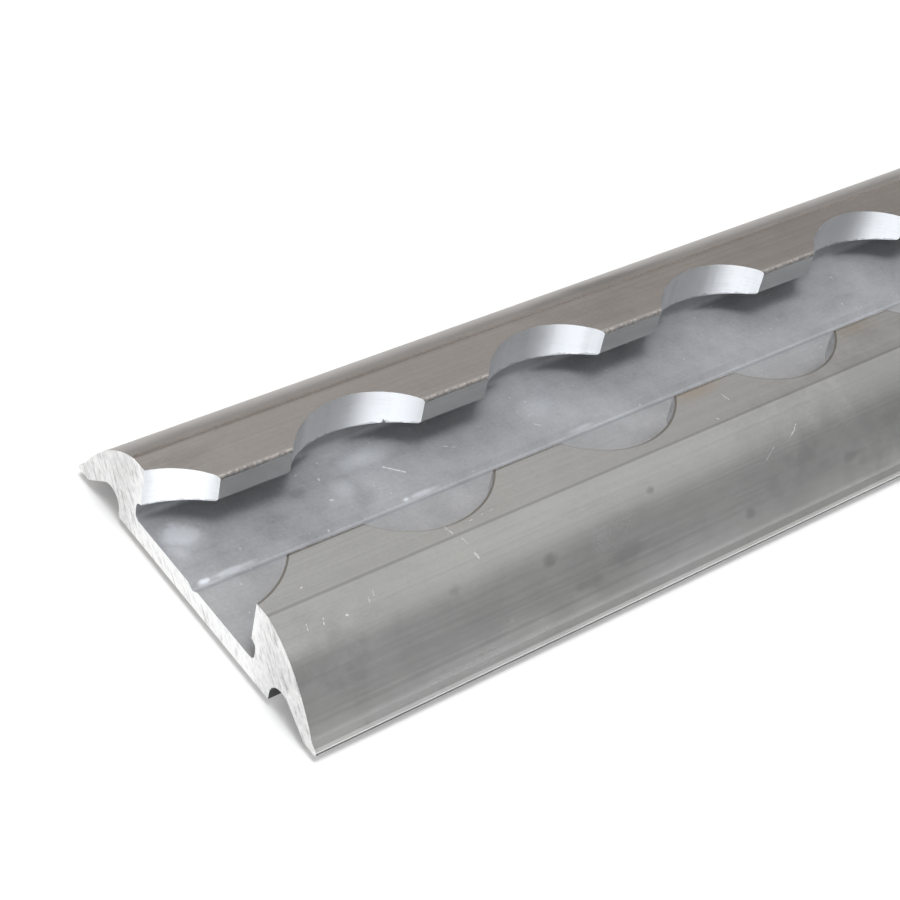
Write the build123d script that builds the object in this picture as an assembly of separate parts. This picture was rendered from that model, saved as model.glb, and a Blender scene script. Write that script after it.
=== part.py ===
from build123d import *
from math import ceil, radians, tan
import os

# Half-round lashing rail: one aluminium extrusion, milled and sawn to length.
# Millimetres. X runs across the rail, Y along it, Z up. Z = 0 is the floor that
# the base and both toes rest on, and the origin is at mid-length.

rail_length = 500.0

# Access holes milled down through both lips. The saw has cut through the one
# at each end.
hole_diameter = 20.4
hole_pitch = 25.4
first_hole_offset = -2.2

# Channel under the lips, and the fine groove scribed along its floor
slot_width = 11.6
lip_edge_thickness = 3.45
lip_upper_radius = 0.5
lip_lower_radius = 0.7
channel_height = 3.75
channel_side_height = 2.15
channel_corner_radius = 0.8
channel_relief = 0.6
floor_thickness = 2.5
floor_corner_radius = 0.7
scribe_width = 1.7
scribe_depth = 0.5

# Wings: flat top as far as a fine crease line, then two arcs down to the toe
side_wall = 2.95
wing_reach = 7.95
crease_margin = 1.4
crease_width = 0.25
crease_depth = 0.1
shoulder_inset = 5.1
shoulder_drop = 2.85
shoulder_angle = 44.0
toe_bevel_width = 0.85
toe_bevel_height = 1.25
toe_edge_height = 0.55
toe_edge_radius = 0.2

# Groove under each wing, between the base and the toe. Its fullness is the
# radius of its crown over its width.
toe_foot_width = 1.9
groove_slope = 37.5
groove_fullness = 0.3

# Sizes that follow from those above
hole_radius = hole_diameter / 2
half_slot = slot_width / 2
half_channel = hole_radius + channel_relief
half_base = half_channel + side_wall
half_width = half_base + wing_reach
lip_bottom = floor_thickness + channel_height
rail_height = lip_bottom + lip_edge_thickness


def draw_section():
    """The extruded section, lips and channel included."""
    foot_inside = half_width - toe_foot_width
    groove_width = foot_inside - half_base
    toe_top = (half_width - toe_bevel_width, toe_bevel_height)
    shoulder = (half_width - shoulder_inset, rail_height - shoulder_drop)
    fall = tan(radians(shoulder_angle))
    crease_inside = hole_radius + crease_margin
    crease_outside = (crease_inside + crease_width, rail_height)
    channel_top = (half_channel, floor_thickness + channel_side_height)

    with BuildSketch(Plane.XZ) as section:
        with BuildLine():
            Line((0, 0), (half_base, 0))
            FilletPolyline(
                (half_base, 0),
                (half_base, groove_width * tan(radians(groove_slope))),
                (foot_inside, 0),
                radius=groove_width * groove_fullness,
            )
            Polyline((foot_inside, 0), (half_width, 0), (half_width, toe_edge_height), toe_top)
            TangentArc(shoulder, toe_top, tangent=(1, -fall))
            TangentArc(shoulder, crease_outside, tangent=(-1, fall))
            Polyline(
                crease_outside,
                (crease_inside + crease_width / 2, rail_height - crease_depth),
                (crease_inside, rail_height),
                (half_slot, rail_height),
                (half_slot, lip_bottom),
                channel_top,
                (half_channel, floor_thickness),
                (scribe_width / 2, floor_thickness),
                (0, floor_thickness - scribe_depth),
                (0, 0),
            )
        make_face()
        rounded = {
            (half_width, 0): toe_edge_radius,
            (half_width, toe_edge_height): toe_edge_radius,
            (half_slot, rail_height): lip_upper_radius,
            (half_slot, lip_bottom): lip_lower_radius,
            channel_top: channel_corner_radius,
            (half_channel, floor_thickness): floor_corner_radius,
        }
        for corner, radius in rounded.items():
            fillet(section.vertices().sort_by_distance(corner)[0], radius)
        mirror(about=Plane.YZ)
    return section.sketch


def draw_holes():
    """The access holes from above, level with the sides of the channel."""
    end = rail_length / 2
    start = first_hole_offset - end
    count = ceil((end + hole_radius - start) / hole_pitch)

    with BuildSketch(Plane.XY.offset(floor_thickness + channel_side_height / 2)) as holes:
        with Locations(*[(0, start + number * hole_pitch) for number in range(count)]):
            Circle(hole_radius)
    return holes.sketch


def build_rail():
    """Extrude the section, then mill the holes down through both lips."""
    rail = extrude(draw_section(), rail_length / 2, both=True)
    return rail - extrude(draw_holes(), rail_height)


os.makedirs("parts", exist_ok=True)
track_rail = build_rail()
track_rail.label = "track_rail"
export_step(track_rail, "parts/track_rail.step")
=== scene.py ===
import math
import bpy
from mathutils import Matrix, Vector


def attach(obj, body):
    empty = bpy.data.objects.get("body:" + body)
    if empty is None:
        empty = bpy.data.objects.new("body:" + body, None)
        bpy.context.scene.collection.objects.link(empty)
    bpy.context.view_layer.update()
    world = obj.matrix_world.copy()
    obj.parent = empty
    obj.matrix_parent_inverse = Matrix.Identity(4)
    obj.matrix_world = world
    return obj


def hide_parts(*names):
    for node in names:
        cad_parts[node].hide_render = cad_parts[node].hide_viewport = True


mm = 0.001


class Socket:
    # a shader or geometry socket that adds Math nodes when it is used in an expression

    def __init__(self, tree, output):
        self.tree = tree
        self.output = output

    def math(self, operation, *values, clamp=False):
        return self.tree.add("ShaderNodeMath", {"operation": operation, "use_clamp": clamp}, *values)

    def __add__(self, other):
        return self.math("ADD", self, other)

    def __sub__(self, other):
        return self.math("SUBTRACT", self, other)

    def __mul__(self, other):
        return self.math("MULTIPLY", self, other)

    def __truediv__(self, other):
        return self.math("DIVIDE", self, other)

    def __radd__(self, other):
        return self.math("ADD", other, self)

    def __rsub__(self, other):
        return self.math("SUBTRACT", other, self)

    def __rmul__(self, other):
        return self.math("MULTIPLY", other, self)

    def __rtruediv__(self, other):
        return self.math("DIVIDE", other, self)

    def __abs__(self):
        return self.math("ABSOLUTE", self)

    def __gt__(self, other):
        return self.math("GREATER_THAN", self, other)

    def __lt__(self, other):
        return self.math("LESS_THAN", self, other)

    def sqrt(self):
        return self.math("SQRT", self)

    def fraction(self):
        return self.math("FRACT", self)

    def most(self, other):
        return self.math("MAXIMUM", self, other)

    def clamp(self):
        return self.math("ADD", self, 0.0, clamp=True)

    def within(self, low, high):
        return (self > low) * (self < high)

    def ramp(self, low, high):
        # 0 at low, 1 at high, eased between
        return self.tree.add("ShaderNodeMapRange", {"interpolation_type": "SMOOTHSTEP"}, self, low, high, 0.0, 1.0)


class Tree:
    # a node tree with one method that adds any node

    def __init__(self, tree):
        self.tree = tree
        self.column = 0

    def add(self, kind, settings=None, *values, output=0, **named):
        node = self.tree.nodes.new(kind)
        node.location = (self.column * 40, -(self.column % 9) * 120)
        self.column += 1
        for name, value in (settings or {}).items():
            setattr(node, name, value)
        for place, value in list(enumerate(values)) + list(named.items()):
            if value is not None:
                self.feed(node, place, value)
        if output is None:
            return node
        return Socket(self, node.outputs[output])

    def feed(self, node, place, value):
        socket = node.inputs[place.replace("_", " ") if isinstance(place, str) else place]
        if isinstance(value, Socket):
            self.tree.links.new(value.output, socket)
        elif isinstance(value, (tuple, list)) and len(value) == 3 and socket.type == "RGBA":
            socket.default_value = (*value, 1.0)
        else:
            socket.default_value = value

    def split(self, vector):
        node = self.add("ShaderNodeSeparateXYZ", None, vector, output=None)
        return [Socket(self, output) for output in node.outputs]

    def join(self, x, y, z):
        return self.add("ShaderNodeCombineXYZ", None, x, y, z)

    def vectorMath(self, operation, *values, output=0, **named):
        return self.add("ShaderNodeVectorMath", {"operation": operation}, *values, output=output, **named)

    def noise(self, vector, scale, detail, roughness):
        return self.add("ShaderNodeTexNoise", None, Vector=vector, Scale=scale, Detail=detail, Roughness=roughness)

    def stretchedNoise(self, place, stretch, detail, roughness):
        # runs long in the directions where its stretch is small
        parts = [part * amount for part, amount in zip(place, stretch)]
        return self.noise(self.join(*parts), 1.0, detail, roughness)

    def mixColour(self, factor, first, second):
        node = self.add("ShaderNodeMix", {"data_type": "RGBA"}, output=None)
        for place, value in ((0, factor), (6, first), (7, second)):
            self.feed(node, place, value)
        return Socket(self, node.outputs[2])

    def attribute(self, name):
        return self.add("GeometryNodeInputNamedAttribute", {"data_type": "FLOAT"}, Name=name)


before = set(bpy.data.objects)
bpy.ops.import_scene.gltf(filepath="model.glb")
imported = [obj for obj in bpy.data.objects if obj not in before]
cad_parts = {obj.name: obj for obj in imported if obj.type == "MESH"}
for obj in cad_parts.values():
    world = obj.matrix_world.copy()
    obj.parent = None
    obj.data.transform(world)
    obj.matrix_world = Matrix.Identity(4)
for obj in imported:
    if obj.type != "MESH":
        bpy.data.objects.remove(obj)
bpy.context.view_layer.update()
print("loaded the rail's frame")


# the rail's section, taken from its own sizes, right half from the base round to the scribed groove

railSizes = {
    "length": 500 * mm,
    "holePitch": 25.4 * mm,
    "firstHole": -2.2 * mm,  # centre of the sawn-through hole, from the near end
    "holeRadius": 10.2 * mm,
    "halfSlot": 5.8 * mm,
    "cuspSoftness": 0.15 * mm,
    "height": 9.7 * mm,
    "lipUpperRadius": 0.5 * mm,
    "lipBottom": 6.25 * mm,
    "lipLowerRadius": 0.7 * mm,
    "halfChannel": 10.8 * mm,
    "channelSideTop": 4.65 * mm,
    "channelCornerRadius": 0.8 * mm,
    "floor": 2.5 * mm,
    "floorCornerRadius": 0.7 * mm,
    "halfScribe": 0.85 * mm,
    "scribeDepth": 0.5 * mm,
    "halfBase": 13.75 * mm,
    "footInside": 19.8 * mm,
    "grooveSlope": math.radians(37.5),
    "grooveRadius": 1.815 * mm,
    "halfWidth": 21.7 * mm,
    "toeEdge": 0.55 * mm,
    "toeEdgeRadius": 0.2 * mm,
    "toeTop": (20.85 * mm, 1.25 * mm),
    "shoulder": (16.6 * mm, 6.85 * mm),
    "shoulderSlope": math.radians(44),
    "crease": 11.6 * mm,
    "creaseWidth": 0.25 * mm,
    "creaseDepth": 0.004 * mm,
    "burr": 0.07 * mm,  # how ragged the lower edge of the hole walls is
    "burrScale": 2600.0,
    "burrStart": 0.05 * mm,  # how far behind the slot's face the wall is ragged
    "milledStart": 0.02 * mm,  # how far behind it the wall is milled
    "sawnDepth": 0.001 * mm,
    "topSlack": 0.01 * mm,
    "topFacing": 0.9999,
    "sharpAngle": math.radians(20),
    "weld": 0.002 * mm,
    "holeSteps": 22,
    "cuspSteps": 3,
    "cuspStep": 0.06 * mm,
    "steps": {
        "lip": 5,
        "groove": 9,
        "toe": 5,
        "bevel": 3,
        "lowArc": 6,
        "highArc": 8,
        "channelTop": 4,
        "channelFoot": 5,
    },
}

sectionLayers = ("sectionX", "sectionZ", "lipEdge", "lipTop", "lipUnder")


def roundCorner(before, corner, after, radius, steps):
    # the points of a round between two straight runs
    corner = Vector(corner)
    first = (Vector(before) - corner).normalized()
    second = (Vector(after) - corner).normalized()
    half = first.angle(second) / 2
    reach = radius / math.tan(half)
    centre = corner + (first + second).normalized() * radius / math.sin(half)
    start = corner + first * reach - centre
    sweep = start.angle_signed(corner + second * reach - centre)
    return [centre + Matrix.Rotation(-sweep * step / steps, 2) @ start for step in range(steps + 1)]


def tangentArc(start, slope, end, steps):
    # an arc that leaves start along slope and comes to end
    start, end = Vector(start), Vector(end)
    along = Vector((math.cos(slope), math.sin(slope)))
    chord = end - start
    turn = 2 * along.angle_signed(chord)
    radius = chord.length / (2 * math.sin(abs(turn) / 2))
    side = Vector((-along.y, along.x)) * (-1 if turn > 0 else 1)
    centre = start + side * radius
    return [centre + Matrix.Rotation(-turn * step / steps, 2) @ (start - centre) for step in range(steps + 1)]


def lipRounds(sizes):
    # the rounds of the lip's edge, upper and lower, and how fast its underside falls
    upper = roundCorner(
        (sizes["crease"], sizes["height"]),
        (sizes["halfSlot"], sizes["height"]),
        (sizes["halfSlot"], sizes["lipBottom"]),
        sizes["lipUpperRadius"],
        sizes["steps"]["lip"],
    )
    lower = roundCorner(
        (sizes["halfSlot"], sizes["height"]),
        (sizes["halfSlot"], sizes["lipBottom"]),
        (sizes["halfChannel"], sizes["channelSideTop"]),
        sizes["lipLowerRadius"],
        sizes["steps"]["lip"],
    )
    fall = (sizes["lipBottom"] - sizes["channelSideTop"]) / (sizes["halfChannel"] - sizes["halfSlot"])
    return upper, lower, fall


def halfSection(sizes):
    # rows of x, z and whether the row is on the lip's edge, its top or its underside
    groovePeak = (sizes["footInside"] - sizes["halfBase"]) * math.tan(sizes["grooveSlope"])
    inner, outer = (sizes["halfBase"], 0), (sizes["footInside"], 0)
    width, toeEdge, toeRadius = sizes["halfWidth"], sizes["toeEdge"], sizes["toeEdgeRadius"]
    crease, height = sizes["crease"], sizes["height"]
    creaseOut = (crease + sizes["creaseWidth"], height)
    sideTop = (sizes["halfChannel"], sizes["channelSideTop"])
    sideFoot = (sizes["halfChannel"], sizes["floor"])
    upper, lower, _ = lipRounds(sizes)
    steps = sizes["steps"]

    wing = [inner]
    wing += roundCorner(inner, (sizes["halfBase"], groovePeak), outer, sizes["grooveRadius"], steps["groove"])
    wing += [outer]
    wing += roundCorner(outer, (width, 0), (width, toeEdge), toeRadius, steps["toe"])
    wing += roundCorner((width, 0), (width, toeEdge), sizes["toeTop"], toeRadius, steps["bevel"])
    wing += reversed(tangentArc(sizes["shoulder"], -sizes["shoulderSlope"], sizes["toeTop"], steps["lowArc"]))
    wing += tangentArc(sizes["shoulder"], math.pi - sizes["shoulderSlope"], creaseOut, steps["highArc"])[1:]
    wing += [(crease + sizes["creaseWidth"] / 2, height - sizes["creaseDepth"]), (crease, height)]
    channel = roundCorner(lower[-1], sideTop, sideFoot, sizes["channelCornerRadius"], steps["channelTop"])
    channel += roundCorner(sideTop, sideFoot, (0, sizes["floor"]), sizes["floorCornerRadius"], steps["channelFoot"])
    channel += [(sizes["halfScribe"], sizes["floor"])]

    rows = [(x, z, 0, 0, 0) for x, z in wing]
    rows += [(x, z, 0, 1, 0) for x, z in upper[:-1]] + [(*upper[-1], 1, 1, 0)]
    rows += [(*lower[0], 1, 0, 1)] + [(x, z, 0, 0, 1) for x, z in lower[1:]]
    return rows + [(x, z, 0, 0, 0) for x, z in channel]


def makeSectionLoop(sizes):
    right = halfSection(sizes)
    left = [(-x, *rest) for x, *rest in reversed(right)]
    rows = right + [(0, sizes["floor"] - sizes["scribeDepth"], 0, 0, 0)] + left
    mesh = bpy.data.meshes.new("railSection")
    count = len(rows)
    mesh.from_pydata([(x, z, 0) for x, z, *_ in rows], [(i, (i + 1) % count) for i in range(count)], [])
    for column, name in enumerate(sectionLayers):
        layer = mesh.attributes.new(name, "FLOAT", "POINT")
        layer.data.foreach_set("value", [row[column] for row in rows])
    return bpy.data.objects.new("railSection", mesh)


def makeStations(sizes):
    # places along the rail: even steps round each hole, closer ones at its cusps
    reach = math.acos(sizes["halfSlot"] / sizes["holeRadius"])
    cusp = sizes["holeRadius"] * math.sin(reach)
    beside = range(-sizes["cuspSteps"], sizes["cuspSteps"] + 1)
    fine = [sign * (cusp + step * sizes["cuspStep"]) for sign in (-1, 1) for step in beside]
    steps = sizes["holeSteps"]
    around = [sizes["holeRadius"] * math.sin(reach * (2 * step / steps - 1)) for step in range(1, steps)]
    ends = (-sizes["length"] / 2, sizes["length"] / 2)
    first = ends[0] + sizes["firstHole"]
    holes = int(sizes["length"] / sizes["holePitch"]) + 2
    places = {round(first + hole * sizes["holePitch"] + place, 6) for hole in range(holes) for place in fine + around}
    places = sorted([place for place in places if ends[0] < place < ends[1]] + list(ends))
    mesh = bpy.data.meshes.new("railStations")
    mesh.from_pydata([(0, place, 0) for place in places], [(i, i + 1) for i in range(len(places) - 1)], [])
    layer = mesh.attributes.new("along", "FLOAT", "POINT")
    layer.data.foreach_set("value", places)
    return bpy.data.objects.new("railStations", mesh)


def makeRailTree(sizes, skin, milled, sawn):
    # sweeps the section along the stations, then pushes the lips back round each hole
    group = bpy.data.node_groups.new("sweepRail", "GeometryNodeTree")
    group.interface.new_socket("stations", in_out="INPUT", socket_type="NodeSocketGeometry")
    group.interface.new_socket("section", in_out="INPUT", socket_type="NodeSocketObject")
    lower, fall = lipRounds(sizes)[1:]
    amounts = {
        "hole pitch": sizes["holePitch"],
        "first hole": sizes["firstHole"] - sizes["length"] / 2,
        "hole radius": sizes["holeRadius"],
        "half slot": sizes["halfSlot"],
        "cusp softness": sizes["cuspSoftness"],
        "rail height": sizes["height"],
        "upper radius": sizes["lipUpperRadius"],
        "lip bottom": sizes["lipBottom"],
        "lip fall": fall,
        "lower radius": sizes["lipLowerRadius"],
        "lower round start": lower[0].y,
        "lower round end": lower[-1].x,
        "burr": sizes["burr"],
        "burr scale": sizes["burrScale"],
        "half length": sizes["length"] / 2,
        "sharp angle": sizes["sharpAngle"],
        "weld": sizes["weld"],
    }
    for name in amounts:
        group.interface.new_socket(name, in_out="INPUT", socket_type="NodeSocketFloat")
    group.interface.new_socket("rail", in_out="OUTPUT", socket_type="NodeSocketGeometry")

    tree = Tree(group)
    given = tree.add("NodeGroupInput", output=None)
    size = {name: Socket(tree, given.outputs[name]) for name in amounts}
    path = tree.add("GeometryNodeMeshToCurve", None, Socket(tree, given.outputs["stations"]))
    loop = tree.add("GeometryNodeObjectInfo", None, Socket(tree, given.outputs["section"]), output="Geometry")
    loop = tree.add("GeometryNodeMeshToCurve", None, loop)
    swept = tree.add("GeometryNodeCurveToMesh", None, Curve=path, Profile_Curve=loop, Fill_Caps=True)
    swept = tree.add("GeometryNodeFlipFaces", None, swept)

    along = tree.attribute("along")
    x, z, onEdge, onTop, under = [tree.attribute(name) for name in sectionLayers]
    turns = (along - size["first hole"]) / size["hole pitch"] + 0.5
    offCentre = abs(turns.fraction() - 0.5) * size["hole pitch"]
    wall = (size["hole radius"] * size["hole radius"] - offCentre * offCentre).most(0.0).sqrt()
    face = wall.math("SMOOTH_MAX", wall, size["half slot"], size["cusp softness"])
    reach = abs(x)
    onLip = onEdge.most(onTop).most(under)
    across = onEdge * face + (1 - onEdge) * (onLip * reach.most(face) + (1 - onLip) * reach)

    def roundRise(radius):
        # how far a round of the lip's edge has turned away from its middle, at this distance across
        inward = (size["half slot"] + radius - across).most(0.0)
        return (radius * radius - inward * inward).most(0.0).sqrt()

    top = size["rail height"] - size["upper radius"] + roundRise(size["upper radius"])
    arc = size["lower round start"] - roundRise(size["lower radius"])
    slope = size["lip bottom"] - size["lip fall"] * (across - size["half slot"])
    onArc = across < size["lower round end"]
    bottom = onArc * arc + (1 - onArc) * slope
    cut = (face > size["half slot"] + sizes["burrStart"]) * onEdge * under
    ragged = abs(tree.noise(tree.join(0.0, along, 0.0), size["burr scale"], 3.0, 0.6) - 0.5) * size["burr"] * 2.0
    height = onTop * top + under * (bottom - cut * ragged) + (1 - onTop) * (1 - under) * z
    placed = tree.join(across * x.math("SIGN", x), along, height)
    shaped = tree.add("GeometryNodeSetPosition", None, swept, Position=placed)

    marks = {
        "milledFace": (onEdge > 0.99) * (face > size["half slot"] + sizes["milledStart"]),
        "sawnFace": abs(along) > size["half length"] - sizes["sawnDepth"],
    }
    for name, value in marks.items():
        settings = {"data_type": "FLOAT", "domain": "FACE"}
        shaped = tree.add("GeometryNodeStoreNamedAttribute", settings, shaped, Name=name, Value=value)
    merged = tree.add("GeometryNodeMergeByDistance", None, shaped, Distance=size["weld"])

    # the flat tops keep flat shading, so that no streak runs in from a hole's cusps
    sharp = tree.add("GeometryNodeInputMeshEdgeAngle") > size["sharp angle"]
    facing = tree.split(tree.add("GeometryNodeInputNormal"))[2]
    level = tree.split(tree.add("GeometryNodeInputPosition"))[2]
    flatTop = (facing > sizes["topFacing"]) * (level > size["rail height"] - sizes["topSlack"])
    smooth = tree.add("GeometryNodeSetShadeSmooth", {"domain": "FACE"}, merged, Shade_Smooth=1 - flatTop)
    creased = tree.add("GeometryNodeSetShadeSmooth", {"domain": "EDGE"}, smooth, Selection=sharp, Shade_Smooth=False)
    dressed = tree.add("GeometryNodeRealizeInstances", None, creased)
    dressed = tree.add("GeometryNodeSetMaterial", None, dressed, Material=skin)
    for name, finish in (("milledFace", milled), ("sawnFace", sawn)):
        chosen = tree.attribute(name) > 0.5
        dressed = tree.add("GeometryNodeSetMaterial", None, dressed, Selection=chosen, Material=finish)
    tree.add("NodeGroupOutput", None, dressed, output=None)
    return group, amounts


def makeRail(sizes, skin, milled, sawn):
    section, stations = makeSectionLoop(sizes), makeStations(sizes)
    for helper in (section, stations):
        bpy.context.scene.collection.objects.link(helper)
    group, amounts = makeRailTree(sizes, skin, milled, sawn)
    modifier = stations.modifiers.new("sweepRail", "NODES")
    modifier.node_group = group
    identifiers = {item.name: item.identifier for item in group.interface.items_tree if item.in_out == "INPUT"}
    modifier[identifiers["section"]] = section
    for name, value in amounts.items():
        modifier[identifiers[name]] = value
    weighted = stations.modifiers.new("evenNormals", "WEIGHTED_NORMAL")
    weighted.keep_sharp = True

    seen = bpy.context.evaluated_depsgraph_get()
    mesh = bpy.data.meshes.new_from_object(stations.evaluated_get(seen), preserve_all_data_layers=True, depsgraph=seen)
    mesh.name = "lashingRail"
    for helper in (section, stations):
        bpy.data.objects.remove(helper)
    for name in ("along", "milledFace", "sawnFace", *sectionLayers):
        layer = mesh.attributes.get(name)
        if layer:
            mesh.attributes.remove(layer)
    rail = bpy.data.objects.new("lashingRail", mesh)
    bpy.context.scene.collection.objects.link(rail)
    return rail


# finishes: bare extruded aluminium, its milled hole walls and the sawn end

skinFinish = {
    "colour": (0.82, 0.82, 0.815),
    "warm": (0.705, 0.662, 0.63),  # painted warm shade on the far side
    "cool": (0.42, 0.43, 0.45),  # the channel's floor, a duller finish; part of its darkness and its bluish cast are painted shade
    # the near half of the channel's floor is painted lighter and warmer: painted light
    "nearFloorLight": (0.43, 0.425, 0.425),
    "lipEdge": (0.64, 0.635, 0.625),
    # the brown of the stains, also used for the painted shade on the near holes' rims
    "stain": (0.80, 0.72, 0.62),
    # a yellowish cast in random patches on the near side only: partly a random tone, partly painted warm light
    "nearWarmCast": (0.80, 0.80, 0.75),
    "scratch": (0.84, 0.84, 0.85),
    "glint": (0.80, 0.83, 0.88),
    "mixed": {"nearWarmCast": 0.35, "rimShade": 0.6, "nearFloorLight": 0.5, "bright": 0.85, "specks": 0.5},
    "noise": {  # scale to the metre, detail and roughness
        "blotch": (70.0, 4.0, 0.6),
        "cloud": (260.0, 4.0, 0.62),
        "grain": (2400.0, 2.0, 0.6),
        "specks": (1500.0, 2.0, 0.5),
        "worn": (5200.0, 2.0, 0.6),
    },
    "stretched": {  # waves to the millimetre over x, y and z, detail and roughness
        "smudge": ((0.12, 0.045, 0.12), 5.0, 0.62),
        "nearWarmCast": ((0.13, 0.06, 0.13), 3.0, 0.6),
    },
    "fades": {  # the noise value where each starts and where it is full
        "smudge": (0.56, 0.72),
        "nearWarmCast": (0.40, 0.66),
        "specks": (0.71, 0.78),
        "worn": (0.34, 0.56),
    },
    "dieLines": {  # waves to the millimetre across and along, a shift between the sides, detail and roughness
        "lines": (2.6, 0.014, 7.0, 3.0, 0.65),
        "broad": (0.42, 0.005, 3.0, 2.0, 0.5),
    },
    "dieSlant": 0.025,
    "shade": 0.88,
    "uneven": {"blotch": 0.16, "lines": 0.20, "broad": 0.10, "smudge": -0.12, "cloud": 0.10, "grain": 0.10},
    "channelUneven": {"lines": -0.08, "cloud": 0.42, "grain": 0.16},
    "zoneShade": {
        "rimShade": -0.48,
        # painted shade along the crease
        "crease": -0.20,
        # painted shade on the toe's bottom face
        "foot": -0.90,
        # painted shade inside the groove under each wing
        "groove": -0.85,
        "lowWing": -0.24,
        # painted shade on the far wing
        "farBandShade": -0.44,
        # painted highlight and painted shade along the scribed groove
        "scribeHighlight": 0.24,
        "scribeShade": -0.02,
        # painted shade under the far lip
        "farFloorShade": -0.18,
        "nearFloorLight": 0.08,
    },
    "lipBurr": 0.45,
    "burrFade": (0.4, 0.65),
    "roughness": 0.25,
    "roughUneven": {"blotch": 0.10, "lines": 0.08, "smudge": 0.08, "cloud": 0.08},
    "zoneRough": {"channel": 0.28, "farWing": 0.16, "foot": 0.30, "bright": 0.30, "dull": 0.12},
    "metallic": 0.97,
    "channelMetallic": -0.74,
    "zoneMetallic": {"bright": -0.5, "foot": -0.6, "toeEdge": -0.3},
    "relief": {"lines": 0.22, "broad": 0.18, "grain": 0.03},
    "reliefDepth": 0.02 * mm,
    "reliefStrength": 0.25,
}

# zones of the section in millimetres: least and most distance from the middle plane, least and most height
sectionZones = {
    "channel": (-1.0, 10.9, 1.0, 5.0),
    "lipEdge": (-1.0, 7.0, 5.0, 9.4),
    "lipBurr": (-1.0, 6.4, 9.3, 9.66),
    # the groove under each wing, darkened as painted shade
    "groove": (13.6, 19.85, 0.02, 2.45),
    # the toe's bottom face, darkened as painted shade
    "foot": (21.2, 30.0, -1.0, 0.40),
    "toeEdge": (21.0, 30.0, -1.0, 0.78),
    "lowWing": (18.5, 30.0, 1.26, 20.0),
}

# zones that fade, in millimetres: where each is nothing and where it is full
fadingZones = {
    "farSideShade": (8.0, -8.0),
    "farWing": (-11.6, -13.4),
    "farBandShade": (-12.2, -13.7),
    "farBandEnd": (-18.4, -16.6),
    "farBandHeight": (5.0, 6.5),
    "farFloorShade": (-1.0, -7.0),
    "nearFloorLight": (0.8, 1.6),
    "lowWingHeight": (3.3, 1.7),
    "rimShade": (-1.0, 4.0),
    "rimRound": (-5.0, 5.0),
    "crease": (0.26, 0.08),
    # painted shade on each hole wall towards its one end, and on that end's cusp
    "wallEndShade": (-2.6, -8.0),
    "wallEdgeShade": (-7.7, -8.5),
    "sawnWing": (9.5, 13.0),
}

milledFinish = {
    "colour": (0.97, 0.98, 1.0),
    "noise": {"mottle": (380.0, 3.0, 0.6), "torn": (1100.0, 3.0, 0.7)},
    "stretched": {"cutter": ((0.3, 0.3, 9.0), 2.0, 0.6), "bands": ((0.62, 0.62, 0.04), 3.0, 0.6)},
    "shade": 0.99,
    "uneven": {"mottle": 0.18, "cutter": 0.24, "bands": 0.34},
    "zoneShade": {"torn": -0.28, "nick": -0.70, "wallEndShade": -0.22, "wallEdgeShade": -0.40},
    "roughness": 0.54,
    "roughUneven": {"mottle": 0.12},
    "brushed": 0.9,
    "brushedTurn": 0.25,
    "torn": (1.1, 0.36),  # height of the torn lower edge in millimetres, and the noise value that has none
    "nick": (-221.2, 5.6, 5.95),  # y, height of its middle and of its top, in millimetres
    "nickLean": 0.3,
    "nickWidth": 0.35,
    "relief": {"cutter": 0.4, "bands": 1.0},
    "reliefDepth": 0.04 * mm,
    "reliefStrength": 0.5,
}

sawnFinish = {
    "colour": (0.92, 0.92, 0.915),
    "tilt": (0.8, 0.6),  # cosine and sine of the saw marks' slope
    "noise": {"mottle": (1300.0, 3.0, 0.6), "wings": (230.0, 2.0, 0.5)},
    "stretched": {"marks": ((5.2, 0.3, 0.4), 3.0, 0.6), "strokes": ((2.4, 0.3, 0.42), 3.0, 0.6)},
    "fades": {"strokes": (0.52, 0.64)},
    "shade": 0.89,
    "uneven": {"marks": 0.50, "mottle": 0.50, "strokes": -0.26},
    "wingShade": 0.34,
    "metallic": 0.85,
    "roughness": 0.48,
    "roughUneven": {"marks": 0.12},
    "relief": {"marks": 1.0},
    "reliefDepth": 0.03 * mm,
    "reliefStrength": 0.4,
}
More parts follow.
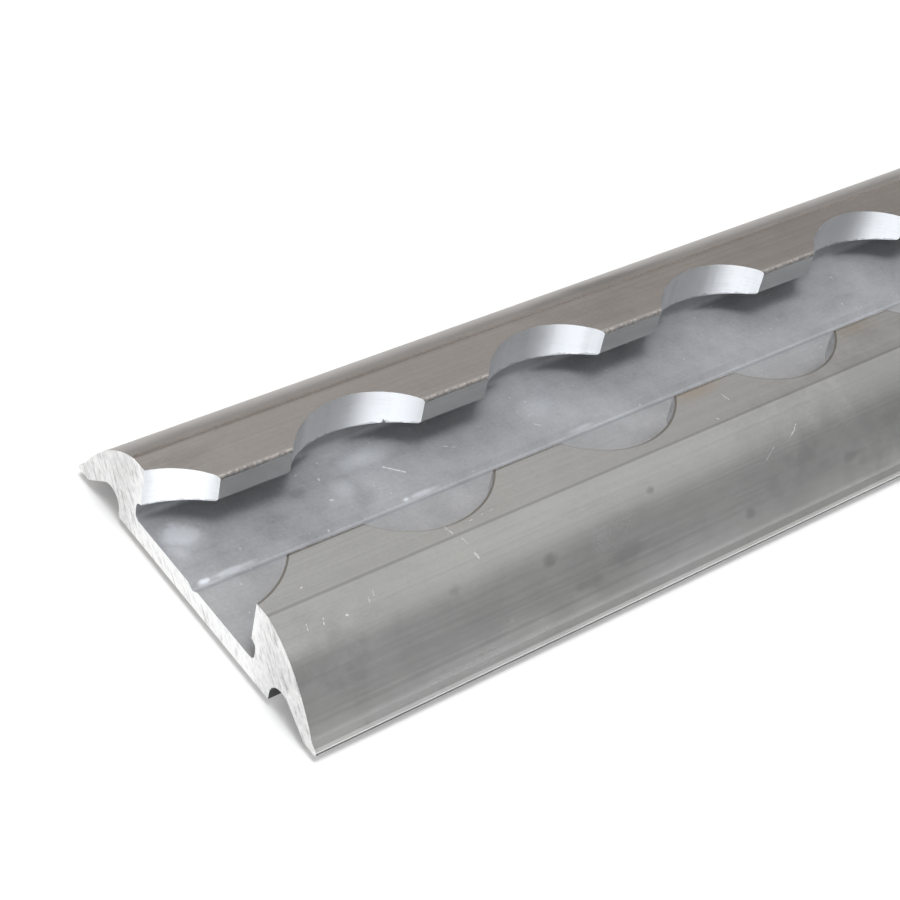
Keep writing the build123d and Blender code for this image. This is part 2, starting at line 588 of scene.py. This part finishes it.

# wear, dull spots, painted shade and painted glints seen from above, in millimetres: scratches are x, y, x, y and
# width, the rest x, y, two radii and strength
railWearAndGlints = {
    "scratches": [
        (10.35, -228.1, 11.3, -227.95, 0.24),
        (12.2, -227.4, 13.0, -227.1, 0.10),
        (13.9, -226.95, 14.4, -226.75, 0.26),
        (8.3, -188.1, 9.3, -187.9, 0.16),
        (14.8, -182.3, 15.3, -182.9, 0.12),
        (15.3, -182.9, 15.7, -183.8, 0.14),
        (11.0, -191.4, 11.2, -191.2, 0.16),
        (15.9, -186.4, 16.6, -188.0, 0.06),
        (10.75, -225.3, 10.7, -225.0, 0.14),
        (10.58, -223.7, 10.54, -223.5, 0.12),
        (10.55, -222.6, 10.5, -222.3, 0.14),
        (13.85, -245.05, 14.35, -245.25, 0.13),
        (13.75, -246.9, 14.25, -247.0, 0.12),
        (13.3, -239.0, 13.8, -239.15, 0.10),
        (13.7, -239.75, 14.15, -239.85, 0.10),
        (14.35, -242.7, 14.4, -242.55, 0.20),
        (10.3, -245.3, 10.25, -245.1, 0.20),
        (-5.2, -223.1, -3.5, -221.45, 0.20),
        (-5.0, -215.5, -4.6, -214.9, 0.10),
        (-4.4, -214.6, -4.1, -214.2, 0.10),
        (-3.7, -231.0, -3.6, -230.8, 0.24),
        (-3.1, -203.9, -2.5, -203.3, 0.10),
        (2.6, -205.2, 3.0, -204.4, 0.09),
    ],
    "dullSpotsAndShade": [
        (16.8, -219.0, 0.6, 1.1, 0.22),
        (16.0, -230.7, 0.5, 0.9, 0.18),
        (17.7, -243.0, 1.0, 2.6, 0.14),
        (15.0, -204.2, 0.4, 0.6, 0.24),
        (18.6, -209.5, 0.7, 3.2, 0.18),
        (19.4, -215.0, 0.5, 2.4, 0.16),
        (19.7, -192.1, 0.4, 1.0, 0.26),
        (17.7, -183.4, 1.0, 2.6, 0.16),
        (18.9, -176.0, 0.5, 1.5, 0.20),
        (17.4, -168.5, 0.9, 2.9, 0.14),
        # these two broad faint ones are painted shade on the near wing
        (16.6, -247.0, 1.8, 7.0, 0.15),
        (14.5, -166.0, 7.0, 22.0, 0.10),
        (-6.1, -233.4, 0.7, 0.9, 0.18),
        (-2.6, -227.4, 1.8, 2.6, 0.10),
    ],
    # soft bright patches in the channel and along its scribed groove: painted reflections and painted highlights
    "glints": [
        (-6.2, -246.9, 2.0, 2.2, 0.36),
        (-4.6, -248.6, 1.6, 1.2, 0.20),
        (-0.35, -248.4, 0.32, 0.9, 0.85),
        (-0.35, -245.6, 0.30, 3.4, 0.36),
        (-0.32, -223.6, 0.30, 0.6, 0.80),
        (-0.32, -221.6, 0.26, 2.6, 0.34),
        (-4.2, -229.0, 1.6, 1.4, 0.14),
        (-7.4, -224.0, 1.5, 3.6, 0.14),
        (-5.0, -202.5, 2.2, 2.6, 0.12),
        (-0.35, -199.0, 0.28, 2.4, 0.26),
    ],
    "stains": [(6.6, -190.5, 1.3, 4.6, 0.80), (6.8, -165.2, 1.2, 4.2, 0.64)],
}


def newMaterial(name):
    material = bpy.data.materials.new(name)
    material.use_nodes = True
    material.node_tree.nodes.clear()
    return material, Tree(material.node_tree)


def closeMaterial(tree, shader):
    tree.add("ShaderNodeOutputMaterial", None, shader, output=None)


def objectPlace(tree):
    # the place in metres, for even noise, and its parts in millimetres
    place = tree.add("ShaderNodeTexCoord", output="Object")
    return place, [part / mm for part in tree.split(place)]


def pastHole(y, sizes):
    # how far y is past the middle of the nearest access hole
    pitch = sizes["holePitch"] / mm
    first = (sizes["firstHole"] - sizes["length"] / 2) / mm
    return (((y - first) / pitch + 0.5).fraction() - 0.5) * pitch


def makePatterns(tree, finish, place, parts):
    patterns = {name: tree.noise(place, *values) for name, values in finish["noise"].items()}
    for name, values in finish["stretched"].items():
        patterns[name] = tree.stretchedNoise(parts, *values)
    for name, (start, full) in finish.get("fades", {}).items():
        patterns[name] = patterns[name].ramp(start, full)
    return patterns


def addUneven(level, amounts, patterns):
    for name, amount in amounts.items():
        level = level + amount * (patterns[name] - 0.5)
    return level


def addUp(level, amounts, masks):
    for name, amount in amounts.items():
        level = level + amount * masks[name]
    return level


def scaleZones(level, amounts, zones):
    for name, amount in amounts.items():
        level = level * (1 + amount * zones[name])
    return level


def relief(tree, finish, patterns):
    height = addUp(0.0, finish["relief"], patterns)
    strength, depth = finish["reliefStrength"], finish["reliefDepth"]
    return tree.add("ShaderNodeBump", None, Strength=strength, Distance=depth, Height=height)


def scratchMask(x, y, scratches):
    # 1 along each short mark, 0 off it
    mask = 0.0
    for startX, startY, endX, endY, width in scratches:
        runX, runY = endX - startX, endY - startY
        fromX, fromY = x - startX, y - startY
        along = ((fromX * runX + fromY * runY) / (runX * runX + runY * runY)).clamp()
        offX, offY = fromX - along * runX, fromY - along * runY
        line = (offX * offX + offY * offY).sqrt().ramp(0.6 * width, 0.25 * width)
        mask = line.most(mask)
    return mask


def spotMask(x, y, spot, ragged=0.0):
    # the spot's strength in the middle of its oval, fading to 0
    centreX, centreY, radiusX, radiusY, strength = spot
    offX, offY = (x - centreX) / radiusX, (y - centreY) / radiusY
    return ((offX * offX + offY * offY).sqrt() + ragged).ramp(1.2, 0.2) * strength


def skinPatterns(tree, finish, place, x, y, z):
    patterns = makePatterns(tree, finish, place, (x, y, z))
    nearSide = x > 0
    across, slant = abs(x) - z * 0.8, x * finish["dieSlant"]
    for name, (acrossWaves, alongWaves, shift, detail, roughness) in finish["dieLines"].items():
        vector = tree.join(across * acrossWaves, y * alongWaves + slant, nearSide * shift)
        patterns[name] = tree.noise(vector, 1.0, detail, roughness)
    # the yellowish cast stays on the near side: painted warm light
    patterns["nearWarmCast"] = patterns["nearWarmCast"] * nearSide
    return patterns


def skinZones(sizes, plain, fading, x, y, z):
    # masks of the places that look different, 1 inside and 0 outside
    reach = abs(x)
    zones = {}
    for name, (nearest, furthest, lowest, highest) in plain.items():
        zones[name] = reach.within(nearest, furthest) * z.within(lowest, highest)
    for name in ("farSideShade", "farWing", "farBandShade", "farFloorShade", "nearFloorLight", "rimShade"):
        zones[name] = x.ramp(*fading[name])
    channel = zones["channel"]
    offCentre = pastHole(y, sizes)
    fromRim = (x * x + offCentre * offCentre).sqrt() - sizes["holeRadius"] / mm
    rimRound = 0.15 + 0.85 * offCentre.ramp(*fading["rimRound"])
    # a thin dark brownish line round the near holes' top edges, stronger on one side of each hole: painted shade
    zones["rimShade"] = zones["rimShade"] * (abs(fromRim - 0.05) < 0.18) * (z > 9.55) * rimRound
    # a thin dark line along the near wing's almost flat crease: painted shade of the fine groove
    zones["crease"] = abs(x - 11.73).ramp(*fading["crease"]) * (z > 9.3)
    zones["toeEdge"] = zones["toeEdge"] * (1 - zones["foot"])
    zones["lowWing"] = zones["lowWing"] * z.ramp(*fading["lowWingHeight"])
    # a darker band on the far wing below its crease: painted shade
    zones["farBandShade"] = zones["farBandShade"] * x.ramp(*fading["farBandEnd"]) * z.ramp(*fading["farBandHeight"])
    # a lighter line and a faint dark line along the scribed groove: painted highlight and painted shade
    zones["scribeHighlight"] = (abs(x - 0.12) < 0.24) * channel
    zones["scribeShade"] = (abs(x - 0.62) < 0.22) * channel
    # the channel's floor darkens towards the far lip: painted shade under it
    zones["farFloorShade"] = zones["farFloorShade"] * channel
    zones["nearFloorLight"] = zones["nearFloorLight"] * channel
    return zones


def makeSkin(finish, wearAndGlints, sizes):
    material, tree = newMaterial("extrudedSkin")
    place, (x, y, z) = objectPlace(tree)
    patterns = skinPatterns(tree, finish, place, x, y, z)
    zones = skinZones(sizes, sectionZones, fadingZones, x, y, z)
    channel, blotch, mixed = zones["channel"], patterns["blotch"], finish["mixed"]

    # the far half is painted warmer and darker: painted shade
    base = tree.mixColour(zones["farSideShade"], finish["colour"], finish["warm"])
    base = tree.mixColour(patterns["nearWarmCast"] * mixed["nearWarmCast"], base, finish["nearWarmCast"])
    base = tree.mixColour(channel, base, finish["cool"])
    base = tree.mixColour(zones["lipEdge"], base, finish["lipEdge"])
    for spot in wearAndGlints["stains"]:
        base = tree.mixColour(spotMask(x, y, spot) * (z > 9.0), base, finish["stain"])
    # painted shade on the near holes' rims, browned
    base = tree.mixColour(zones["rimShade"] * mixed["rimShade"], base, finish["stain"])
    # painted light on the near half of the channel's floor
    base = tree.mixColour(zones["nearFloorLight"] * mixed["nearFloorLight"], base, finish["nearFloorLight"])

    scratches = scratchMask(x, y, wearAndGlints["scratches"]) * patterns["worn"] * mixed["bright"]
    bright = scratches.most(patterns["specks"] * channel * mixed["specks"]) * (z > 0.2)
    dull, glint = 0.0, 0.0
    ragged = 2.4 * (patterns["cloud"] - 0.5)
    # dull marks, and painted shade from the broad spots
    for spot in wearAndGlints["dullSpotsAndShade"]:
        dull = spotMask(x, y, spot, ragged).most(dull)
    # painted glints: reflections and highlights on the channel's floor
    for spot in wearAndGlints["glints"]:
        glint = spotMask(x, y, spot, ragged).most(glint)
    glint = glint * channel * (0.7 + 1.2 * blotch)
    zones.update(bright=bright, dull=dull)

    shade = addUneven(finish["shade"], finish["uneven"], patterns)
    shade = shade + channel * addUneven(0.0, finish["channelUneven"], patterns)
    shade = scaleZones(shade, finish["zoneShade"], zones) * (1 - dull * (0.4 + 1.2 * blotch))
    shade = shade * (1 + finish["lipBurr"] * zones["lipBurr"] * patterns["grain"].ramp(*finish["burrFade"]))
    colour = tree.vectorMath("SCALE", base, Scale=shade)
    colour = tree.mixColour(glint, colour, finish["glint"])
    colour = tree.mixColour(bright, colour, finish["scratch"])

    roughness = addUneven(finish["roughness"], finish["roughUneven"], patterns)
    metallic = finish["metallic"] + finish["channelMetallic"] * channel
    shader = tree.add(
        "ShaderNodeBsdfPrincipled",
        None,
        Base_Color=colour,
        Metallic=scaleZones(metallic, finish["zoneMetallic"], zones),
        Roughness=addUp(roughness, finish["zoneRough"], zones),
        Normal=relief(tree, finish, patterns),
    )
    closeMaterial(tree, shader)
    return material


def makeMilled(finish, sizes):
    material, tree = newMaterial("milledWall")
    place, (x, y, z) = objectPlace(tree)
    patterns = makePatterns(tree, finish, place, (x, y, z))
    offCentre = pastHole(y, sizes)
    underside = sizes["lipBottom"] / mm - (abs(x) - sizes["halfSlot"] / mm) * lipRounds(sizes)[2]
    tornHeight, tornLevel = finish["torn"]
    nickY, nickMiddle, nickTop = finish["nick"]
    offNick = abs(y - nickY + (z - nickMiddle) * finish["nickLean"])
    zones = {
        "torn": z < underside + tornHeight * (patterns["torn"] - tornLevel),
        "nick": offNick < (nickTop - z) * finish["nickWidth"],
        # each hole wall darker towards one end, with a dark line at that cusp: painted shade
        "wallEndShade": offCentre.ramp(*fadingZones["wallEndShade"]),
        "wallEdgeShade": offCentre.ramp(*fadingZones["wallEdgeShade"]),
    }
    shade = scaleZones(addUneven(finish["shade"], finish["uneven"], patterns), finish["zoneShade"], zones)
    shader = tree.add(
        "ShaderNodeBsdfPrincipled",
        None,
        Base_Color=tree.vectorMath("SCALE", finish["colour"], Scale=shade.clamp()),
        Metallic=1.0,
        Roughness=addUneven(finish["roughness"], finish["roughUneven"], patterns),
        Anisotropic=finish["brushed"],
        Anisotropic_Rotation=finish["brushedTurn"],
        Normal=relief(tree, finish, patterns),
    )
    closeMaterial(tree, shader)
    return material


def makeSawn(finish):
    material, tree = newMaterial("sawnEnd")
    place, (x, y, z) = objectPlace(tree)
    level, rise = finish["tilt"]
    patterns = makePatterns(tree, finish, place, (x * level + z * rise, y, z * level - x * rise))
    wings = abs(x).ramp(*fadingZones["sawnWing"]) * patterns["wings"]
    shade = addUneven(finish["shade"], finish["uneven"], patterns) - finish["wingShade"] * wings
    shader = tree.add(
        "ShaderNodeBsdfPrincipled",
        None,
        Base_Color=tree.vectorMath("SCALE", finish["colour"], Scale=shade.clamp()),
        Metallic=finish["metallic"],
        Roughness=addUneven(finish["roughness"], finish["roughUneven"], patterns),
        Normal=relief(tree, finish, patterns),
    )
    closeMaterial(tree, shader)
    return material


skin = makeSkin(skinFinish, railWearAndGlints, railSizes)
rail = makeRail(railSizes, skin, makeMilled(milledFinish, railSizes), makeSawn(sawnFinish))
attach(rail, "root")
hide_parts("track_rail")
print("swept the rail:", len(rail.data.vertices), "points,", len(rail.data.polygons), "faces")


# floor, studio light and camera

studio = {
    "floorHalf": 12.0,
    "floorDrop": 1.1 * mm,  # the dark gap that shows below the sawn end
    "floorColour": (0.90, 0.90, 0.90),
    "floorLift": 0.14,
    "highLight": (0.515, 0.513, 0.508),
    "lowLight": (0.25, 0.25, 0.25),
    "lowWarm": (0.23, 0.208, 0.19),
    "lowTop": 0.38,
    "highFoot": 0.80,
    "warmSide": (-0.84, 0.54, 0.1),
    "warmFade": (0.6, 0.98),
    "lampAim": (0.0, -0.18, 0.0),
    "lamps": {  # bearing and height in degrees, distance and size in metres, watts, colour, what it lights
        "window": (-31, 36, 1.2, (1.2, 0.42), 12.0, (0.94, 0.97, 1.0), ("glossy",)),
        "fill": (-31, 38, 1.3, (1.2, 0.42), 2.8, (0.94, 0.97, 1.0), ("diffuse",)),
        "overhead": (-40, 79, 1.2, (0.42, 0.42), 8.6, (1.0, 1.0, 1.0), ("diffuse",)),
    },
    "lens": 81.05,
    "sensor": 36.0,
    "clip": (0.01, 50.0),
    "cameraPlace": (0.108921, -0.332305, 0.147345),
    "cameraRight": (0.598454, 0.783373, 0.167866),
    "cameraUp": (-0.610993, 0.310744, 0.728097),
    "cameraBack": (0.518208, -0.538298, 0.664602),
}


def makeFloor(setup):
    mesh = bpy.data.meshes.new("floor")
    half = setup["floorHalf"]
    level = -setup["floorDrop"]
    corners = [(-half, -half, level), (half, -half, level), (half, half, level), (-half, half, level)]
    mesh.from_pydata(corners, [], [(0, 1, 2, 3)])
    floor = bpy.data.objects.new("floor", mesh)
    bpy.context.scene.collection.objects.link(floor)
    material, tree = newMaterial("paleFloor")
    rays = tree.add("ShaderNodeLightPath", output=None)
    seen = Socket(tree, rays.outputs["Is Camera Ray"]).most(Socket(tree, rays.outputs["Is Glossy Ray"]))
    seen = seen.most(Socket(tree, rays.outputs["Is Transmission Ray"]))
    matte = tree.add("ShaderNodeBsdfDiffuse", None, Color=setup["floorColour"])
    glow = tree.add("ShaderNodeEmission", None, Color=(1.0, 1.0, 1.0), Strength=seen * setup["floorLift"])
    closeMaterial(tree, tree.add("ShaderNodeAddShader", None, matte, glow))
    mesh.materials.append(material)
    return floor


def makeWorld(setup):
    # bright overhead, dimmer and a little warm towards the sides, as in a room
    world = bpy.data.worlds.new("studio")
    world.use_nodes = True
    world.node_tree.nodes.clear()
    tree = Tree(world.node_tree)
    direction = tree.add("ShaderNodeTexCoord", output="Generated")
    x, y, z = tree.split(direction)
    warmSide = tuple(Vector(setup["warmSide"]).normalized())
    warm = tree.vectorMath("DOT_PRODUCT", direction, warmSide, output="Value").ramp(*setup["warmFade"])
    low = tree.mixColour(warm, setup["lowLight"], setup["lowWarm"])
    overhead = z.ramp(setup["lowTop"], setup["highFoot"])
    colour = tree.mixColour(overhead, low, setup["highLight"])
    light = tree.add("ShaderNodeBackground", None, Color=colour, Strength=1.0)
    tree.add("ShaderNodeOutputWorld", None, light, output=None)
    return world


def makeLamps(setup):
    for name, (bearing, height, distance, size, watts, colour, kinds) in setup["lamps"].items():
        lamp = bpy.data.lights.new(name, "AREA")
        lamp.shape = "RECTANGLE"
        lamp.size, lamp.size_y = size
        lamp.energy = watts
        lamp.color = colour
        holder = bpy.data.objects.new(name, lamp)
        bpy.context.scene.collection.objects.link(holder)
        bearing, height = math.radians(bearing), math.radians(height)
        level = math.cos(height)
        towards = Vector((math.cos(bearing) * level, math.sin(bearing) * level, math.sin(height)))
        holder.location = Vector(setup["lampAim"]) + towards * distance
        holder.rotation_mode = "QUATERNION"
        holder.rotation_quaternion = (-towards).to_track_quat("-Z", "Y")
        holder.visible_diffuse = "diffuse" in kinds
        holder.visible_glossy = "glossy" in kinds


def makeCamera(setup):
    camera = bpy.data.objects.new("camera", bpy.data.cameras.new("camera"))
    bpy.context.scene.collection.objects.link(camera)
    camera.data.lens = setup["lens"]
    camera.data.sensor_width = setup["sensor"]
    camera.data.clip_start, camera.data.clip_end = setup["clip"]
    turn = Matrix((setup["cameraRight"], setup["cameraUp"], setup["cameraBack"])).transposed().to_4x4()
    camera.matrix_world = Matrix.Translation(setup["cameraPlace"]) @ turn
    bpy.context.scene.camera = camera
    return camera


makeFloor(studio)
bpy.context.scene.world = makeWorld(studio)
makeLamps(studio)
makeCamera(studio)
bpy.context.scene.view_settings.view_transform = "Standard"
print("set the floor, lights and camera")
